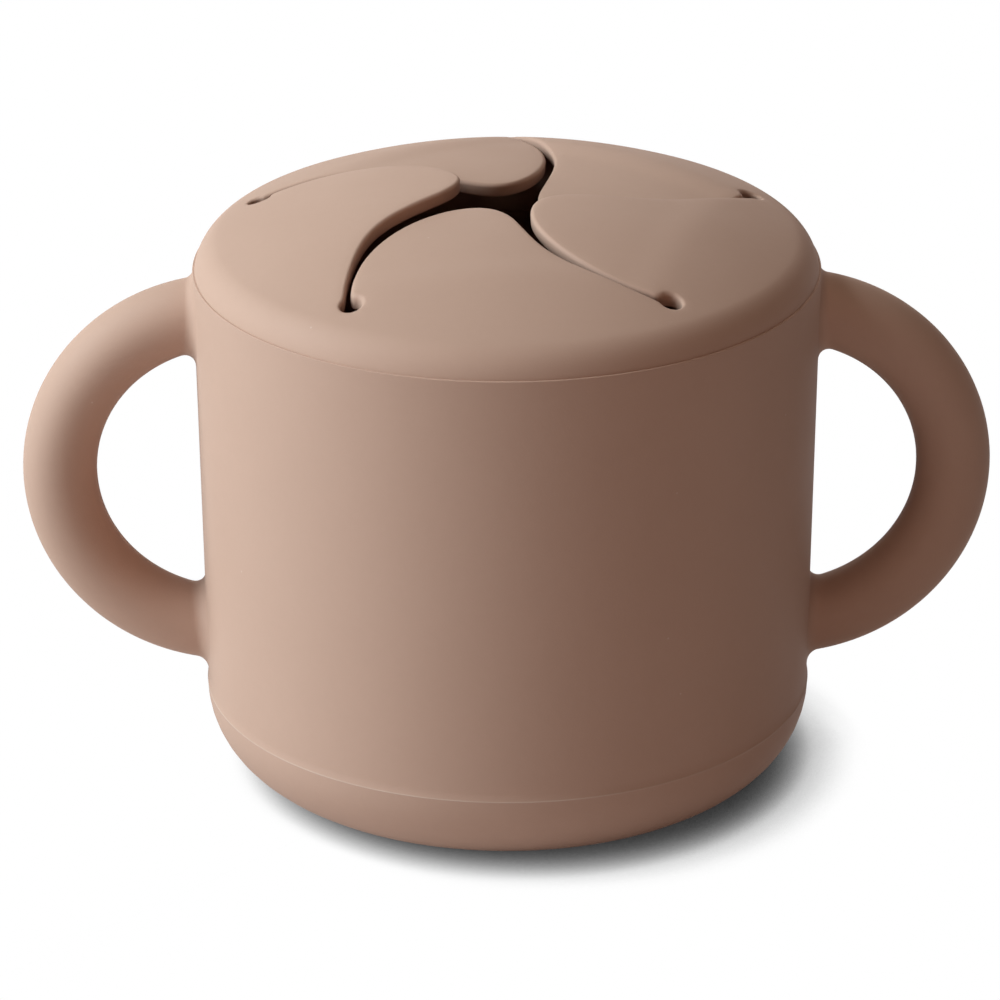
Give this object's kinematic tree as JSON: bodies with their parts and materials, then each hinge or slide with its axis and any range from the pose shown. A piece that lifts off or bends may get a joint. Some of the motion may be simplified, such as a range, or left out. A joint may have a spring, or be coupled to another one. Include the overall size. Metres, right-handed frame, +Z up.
{
  "type": "toddler snack cup",
  "caption": "Soft round snack cup with two ring handles and a press-on domed lid whose curved flaps bend to let a small hand in.",
  "frame": {"origin": "centre of the flat resting face under the cup", "axes": "+Z up along the cup's axis, one handle lies each way along X, -Y faces the viewer of the picture"},
  "size_m": [0.1391, 0.089, 0.088],
  "materials": {
    "cup_silicone": "matte moulded silicone, warm nude brown",
    "lid_silicone": "matte moulded silicone, warm nude brown"
  },
  "bodies": {
    "cup": {"cup_body": "cup_silicone", "handle_left": "cup_silicone", "handle_right": "cup_silicone"},
    "lid": {"lid_rim": "lid_silicone"},
    "front_flap": {"flap_front": "lid_silicone"},
    "right_flap": {"flap_right": "lid_silicone"},
    "back_right_flap": {"flap_back_right": "lid_silicone"},
    "back_left_flap": {"flap_back_left": "lid_silicone"},
    "left_flap": {"flap_left": "lid_silicone"}
  },
  "joints": [
    {"name": "lid_lift", "type": "slide", "parent": "cup", "child": "lid", "axis": [0, 0, 1], "range_m": [0, 0.06]},
    {"name": "front_flap_bend", "type": "hinge", "parent": "lid", "child": "front_flap", "pos_m": [0, -0.02993, 0.08159], "axis": [-1, 0, 0], "range_deg": [-29.7, 65.3], "stiffness_Nm_per_rad": 0.02},
    {"name": "right_flap_bend", "type": "hinge", "parent": "lid", "child": "right_flap", "pos_m": [0.02847, -0.00925, 0.08159], "axis": [-0.309, -0.9511, 0], "range_deg": [-27.6, 67.4], "stiffness_Nm_per_rad": 0.02},
    {"name": "back_right_flap_bend", "type": "hinge", "parent": "lid", "child": "back_right_flap", "pos_m": [0.01759, 0.02422, 0.08159], "axis": [0.809, -0.5878, 0], "range_deg": [-37.3, 57.7], "stiffness_Nm_per_rad": 0.02},
    {"name": "back_left_flap_bend", "type": "hinge", "parent": "lid", "child": "back_left_flap", "pos_m": [-0.01759, 0.02422, 0.08159], "axis": [0.809, 0.5878, 0], "range_deg": [-31.6, 63.4], "stiffness_Nm_per_rad": 0.02},
    {"name": "left_flap_bend", "type": "hinge", "parent": "lid", "child": "left_flap", "pos_m": [-0.02847, -0.00925, 0.08159], "axis": [-0.309, 0.9511, 0], "range_deg": [-25, 70], "stiffness_Nm_per_rad": 0.02}
  ]
}
